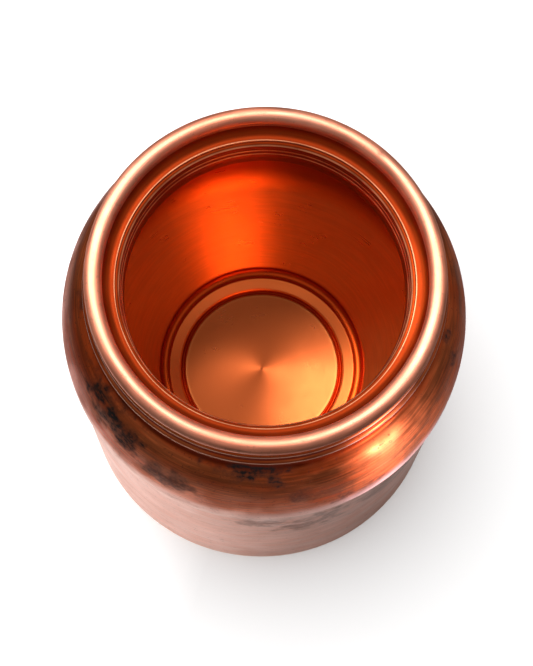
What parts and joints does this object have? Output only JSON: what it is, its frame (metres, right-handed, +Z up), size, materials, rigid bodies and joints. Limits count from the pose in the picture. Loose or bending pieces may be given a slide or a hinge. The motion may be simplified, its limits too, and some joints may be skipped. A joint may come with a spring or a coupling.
{
  "type": "lota water pot",
  "caption": "Open-mouthed copper water pot with a rolled wire rim, a ridged neck collar, a bulging shoulder and a tapered lower body with a let-in base.",
  "frame": {"origin": "centre of the foot on the surface that the pot stands on", "axes": "+Z up through the centre of the mouth; X and Y are equivalent, because the pot is round"},
  "size_m": [0.119, 0.119, 0.13],
  "materials": {
    "wire": "drawn",
    "collar_copper": "satin",
    "shoulder_copper": "brushed, tarnished in patches",
    "body_copper": "brushed, tarnished in patches",
    "inside_copper": "satin",
    "solder": "as brazed"
  },
  "bodies": {
    "root": {"rim_wire": "wire", "neck_collar": "collar_copper", "collar_seam": "solder", "shoulder": "shoulder_copper", "belly_seam": "solder", "lower_body": "body_copper", "base_pan": "inside_copper", "base_seam": "solder"}
  },
  "joints": []
}
